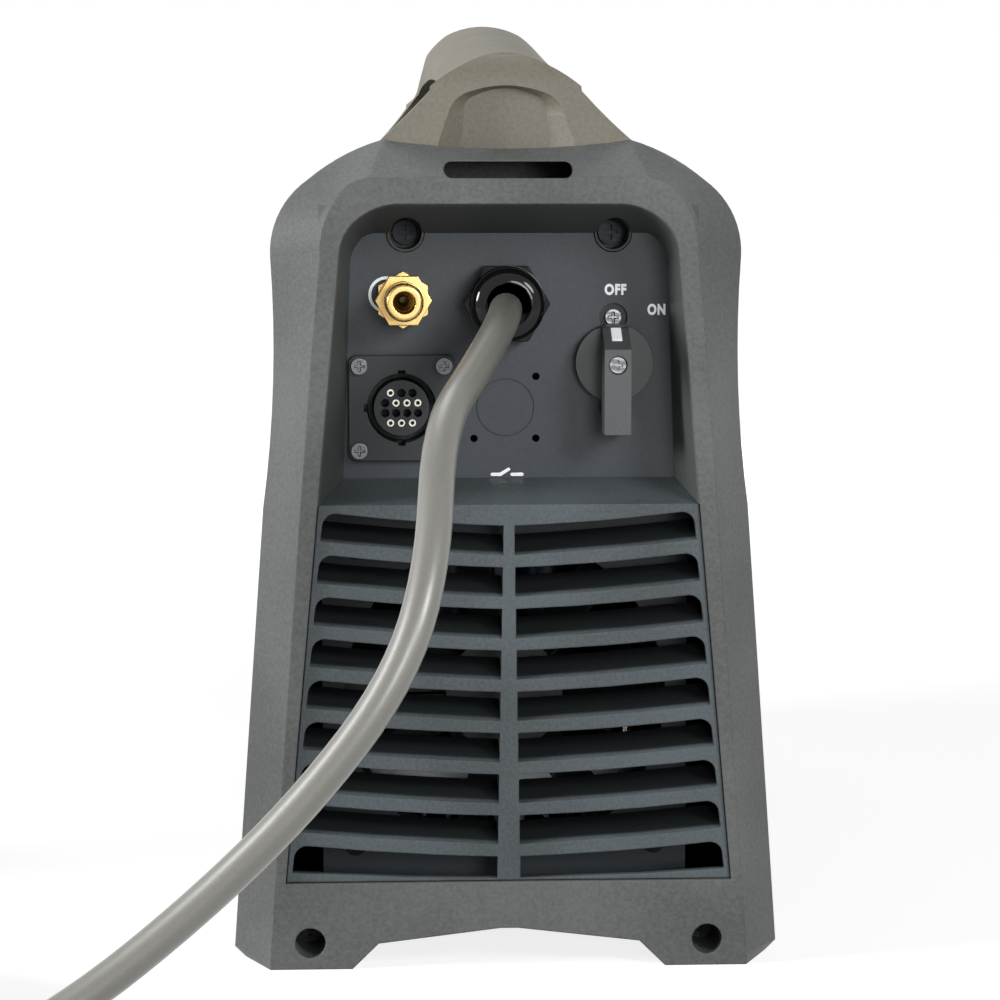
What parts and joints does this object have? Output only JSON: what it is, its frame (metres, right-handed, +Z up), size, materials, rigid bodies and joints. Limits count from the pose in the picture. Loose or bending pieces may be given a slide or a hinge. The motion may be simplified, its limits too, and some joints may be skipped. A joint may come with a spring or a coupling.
{
  "type": "plasma cutter unit",
  "caption": "Portable three-phase inverter plasma cutting unit: tall dark housing between moulded bezels, carrying handle, rear air inlet, switch, interface socket and mains lead.",
  "frame": {"origin": "on the floor under the middle of the housing", "axes": "+Z up; the rear face with the mains lead looks along -Y, the front panel along +Y; +X is to the right of someone who faces the rear"},
  "size_m": [0.4564, 0.5989, 0.33],
  "materials": {
    "bezel_plastic": "fine grained moulding, dark grey",
    "grille_plastic": "fine grained moulding, dark grey",
    "handle_plastic": "fine grained moulding, mid grey",
    "grip_rubber": "soft black strip",
    "panel_paint": "satin black powder coat",
    "cover_paint": "fine textured dark powder coat",
    "pan_steel": "dark powder coat",
    "dark_steel": "blackened steel",
    "bright_steel": "zinc plated",
    "gland_plastic": "glossy black polyamide",
    "cable_rubber": "grey rubber jacket, soft sheen",
    "tie_strap": "woven black strap",
    "plug_plastic": "dark grey moulding",
    "plug_collar_plastic": "red moulding",
    "nickel": "nickel plate",
    "air_brass": "turned brass",
    "contact_metal": "plated contacts",
    "hose_plastic": "blue polyurethane hose",
    "socket_plastic": "black moulding",
    "knob_plastic": "black moulding",
    "marker_white": "white inlay",
    "smoked_window": "smoked window",
    "button_plastic": "light grey caps",
    "lens_plastic": "pale lenses",
    "fan_plastic": "black moulding",
    "bare_aluminium": "bare extrusion",
    "board_laminate": "green laminate",
    "capacitor_sleeve": "dark blue sleeve",
    "ferrite": "dark grey ferrite",
    "copper": "enamelled copper winding"
  },
  "bodies": {
    "housing": {"rear_bezel": "bezel_plastic", "front_bezel": "bezel_plastic", "rear_grille": "grille_plastic", "front_grille": "grille_plastic", "rear_panel": "panel_paint", "front_panel": "panel_paint", "cover": "cover_paint", "base_pan": "pan_steel", "handle_shell": "handle_plastic", "handle_underside": "grip_rubber", "handle_screws": "dark_steel", "bezel_screws": "dark_steel", "cover_screws": "dark_steel", "gland_body": "gland_plastic", "gland_dome_nut": "gland_plastic", "gland_clamp_ring": "gland_plastic", "gland_locknut": "gland_plastic", "mains_cable": "cable_rubber", "mains_coil": "cable_rubber", "coil_ties": "tie_strap", "plug_body": "plug_plastic", "plug_shroud": "plug_collar_plastic", "plug_pins": "nickel", "plug_cable_nut": "plug_plastic", "air_inlet_fitting": "air_brass", "air_inlet_nut": "air_brass", "air_hose": "hose_plastic", "solenoid_valve": "air_brass", "pressure_switch": "nickel", "cnc_socket_shell": "socket_plastic", "cnc_socket_insert": "socket_plastic", "cnc_contacts": "contact_metal", "cnc_screws": "bright_steel", "switch_body": "socket_plastic", "switch_screws": "bright_steel", "display_window": "smoked_window", "indicator_lenses": "lens_plastic", "torch_socket_body": "socket_plastic", "torch_socket_contacts": "contact_metal", "work_socket_body": "socket_plastic", "work_socket_contact": "contact_metal", "fan_frame": "fan_plastic", "fan_screws": "dark_steel", "heatsink": "bare_aluminium", "board_standoffs": "nickel", "power_board": "board_laminate", "power_modules": "socket_plastic", "bulk_capacitors": "capacitor_sleeve", "transformer_core": "ferrite", "transformer_winding": "copper", "output_choke": "copper", "control_board": "board_laminate"},
    "switch_lever": {"switch_knob": "knob_plastic", "switch_marker": "marker_white", "switch_knob_screw": "bright_steel"},
    "fan_wheel": {"fan_rotor": "fan_plastic"},
    "current_dial": {"current_knob": "knob_plastic"},
    "mode_key": {"mode_button": "button_plastic"},
    "test_key": {"test_button": "button_plastic"}
  },
  "joints": [
    {"name": "switch_turn", "type": "hinge", "parent": "housing", "child": "switch_lever", "pos_m": [0.0378, -0.185, 0.2072], "axis": [0, 1, 0], "range_deg": [0, 45]},
    {"name": "fan_spin", "type": "hinge", "parent": "housing", "child": "fan_wheel", "pos_m": [0, -0.17, 0.09], "axis": [0, 1, 0], "continuous": true},
    {"name": "current_turn", "type": "hinge", "parent": "housing", "child": "current_dial", "pos_m": [0.036, 0.185, 0.205], "axis": [0, -1, 0], "range_deg": [-135, 135]},
    {"name": "mode_press", "type": "slide", "parent": "housing", "child": "mode_key", "axis": [0, -1, 0], "range_m": [0, 0.0012], "stiffness_N_per_m": 500, "springref_m": -0.0005},
    {"name": "test_press", "type": "slide", "parent": "housing", "child": "test_key", "axis": [0, -1, 0], "range_m": [0, 0.0012], "stiffness_N_per_m": 500, "springref_m": -0.0005}
  ]
}
